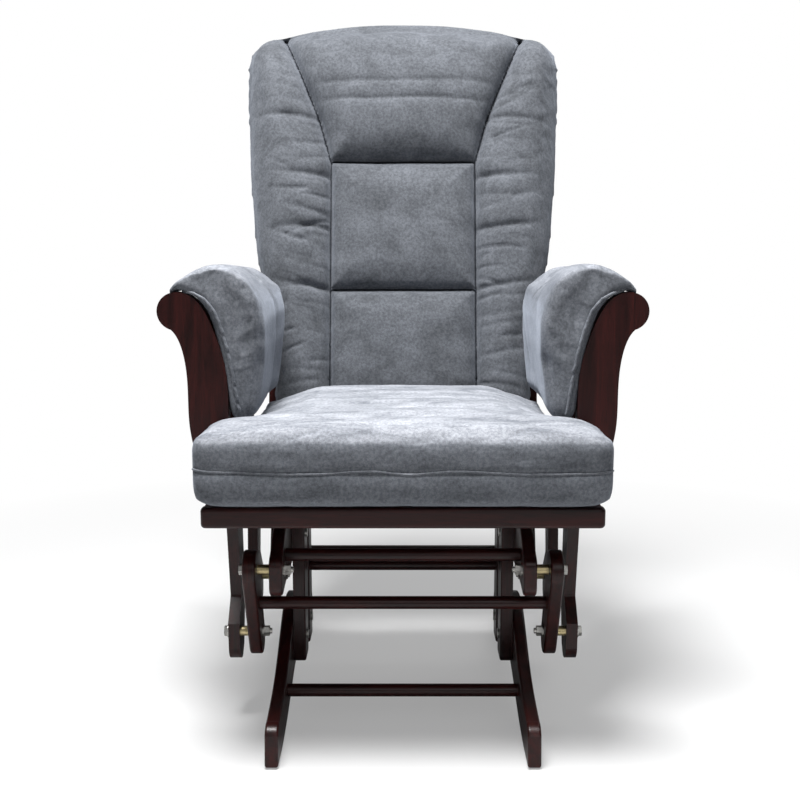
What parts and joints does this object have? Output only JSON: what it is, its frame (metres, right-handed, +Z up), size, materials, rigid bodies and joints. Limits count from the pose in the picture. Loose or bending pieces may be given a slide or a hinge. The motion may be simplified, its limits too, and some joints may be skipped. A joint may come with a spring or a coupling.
{
  "type": "glider nursery chair",
  "caption": "Upholstered glider nursery chair: dark wood frame on a swing-link base, with seat and back cushions and padded scroll arms.",
  "frame": {"origin": "on the floor, under the middle of the chair's box", "axes": "+Z up, -Y towards the front of the seat, +X to the right of someone looking at the chair from the front"},
  "size_m": [0.669, 0.7242, 1.0369],
  "materials": {
    "frame_wood": "dark cherry stain under satin lacquer",
    "upholstery": "grey brushed microfibre over foam and fibre filling",
    "pivot_steel": "zinc plated",
    "spacer_brass": "yellow passivated",
    "bush_nylon": "moulded nylon",
    "glide_plastic": "moulded"
  },
  "bodies": {
    "seat": {"arm_board_left": "frame_wood", "arm_board_right": "frame_wood", "arm_front_post_left": "frame_wood", "arm_front_post_right": "frame_wood", "arm_pad_left": "upholstery", "arm_pad_right": "upholstery", "arm_rear_post_left": "frame_wood", "arm_rear_post_right": "frame_wood", "arm_spindles_left": "frame_wood", "arm_spindles_right": "frame_wood", "back_crest_rail": "frame_wood", "back_cushion": "upholstery", "back_lower_rail": "frame_wood", "back_post_bolts": "pivot_steel", "back_post_left": "frame_wood", "back_post_right": "frame_wood", "back_slats": "frame_wood", "lower_pivot_bolts_front": "pivot_steel", "lower_pivot_bolts_rear": "pivot_steel", "lower_pivot_nuts": "pivot_steel", "lower_pivot_spacers": "spacer_brass", "seat_cushion": "upholstery", "seat_front_rail": "frame_wood", "seat_hanger_front_left": "frame_wood", "seat_hanger_front_right": "frame_wood", "seat_hanger_rear_left": "frame_wood", "seat_hanger_rear_right": "frame_wood", "seat_rear_rail": "frame_wood", "seat_side_rail_left": "frame_wood", "seat_side_rail_right": "frame_wood", "seat_slats": "frame_wood"},
    "base": {"base_runner_left": "frame_wood", "base_runner_right": "frame_wood", "base_stretcher_front_lower": "frame_wood", "base_stretcher_front_upper": "frame_wood", "base_stretcher_rear_lower": "frame_wood", "base_stretcher_rear_upper": "frame_wood", "base_top_rail_left": "frame_wood", "base_top_rail_right": "frame_wood", "base_upright_bolts": "pivot_steel", "base_upright_front_left": "frame_wood", "base_upright_front_right": "frame_wood", "base_upright_rear_left": "frame_wood", "base_upright_rear_right": "frame_wood", "floor_glides": "glide_plastic", "upper_pivot_bolts_front": "pivot_steel", "upper_pivot_bolts_rear": "pivot_steel", "upper_pivot_nuts": "pivot_steel", "upper_pivot_spacers": "spacer_brass"},
    "front_links": {"link_bushes_front": "bush_nylon", "link_dowel_front": "frame_wood", "swing_link_front_left": "frame_wood", "swing_link_front_right": "frame_wood"},
    "rear_links": {"link_bushes_rear": "bush_nylon", "link_dowel_rear": "frame_wood", "swing_link_rear_left": "frame_wood", "swing_link_rear_right": "frame_wood"}
  },
  "joints": [
    {"name": "front_link_swing", "type": "hinge", "parent": "base", "child": "front_links", "pos_m": [0, -0.2361, 0.236], "axis": [1, 0, 0], "range_deg": [-15, 15]},
    {"name": "seat_rock", "type": "hinge", "parent": "front_links", "child": "seat", "pos_m": [0, -0.1861, 0.13], "axis": [1, 0, 0], "range_deg": [-20.6, 20.6]},
    {"name": "rear_link_swing", "type": "hinge", "parent": "base", "child": "rear_links", "pos_m": [0, 0.1279, 0.236], "axis": [1, 0, 0], "range_deg": [-15, 15]}
  ],
  "couplings": [
    {"joint": "seat_rock", "follows": "front_link_swing", "ratio": -1.369},
    {"joint": "rear_link_swing", "follows": "front_link_swing", "ratio": 1}
  ]
}
